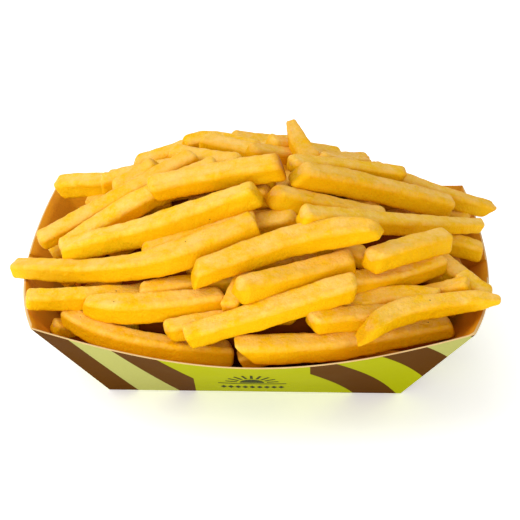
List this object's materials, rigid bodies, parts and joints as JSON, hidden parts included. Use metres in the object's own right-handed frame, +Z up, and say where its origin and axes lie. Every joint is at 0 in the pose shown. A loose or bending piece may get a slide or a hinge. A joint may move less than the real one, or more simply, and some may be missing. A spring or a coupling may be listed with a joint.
{
  "type": "french fries in a paperboard tray",
  "caption": "Square-cut french fries heaped loosely in an open folded paperboard food tray with flared walls and a bowed rim.",
  "frame": {"origin": "middle of the tray's base, on the underside that stands on the table", "axes": "+X along the tray's length, +Y towards its back wall, +Z up"},
  "size_m": [0.2064, 0.1502, 0.0945],
  "materials": {
    "board": "matte",
    "potato": "satin"
  },
  "bodies": {
    "root": {"carton": "board", "fries": "potato"}
  },
  "joints": []
}
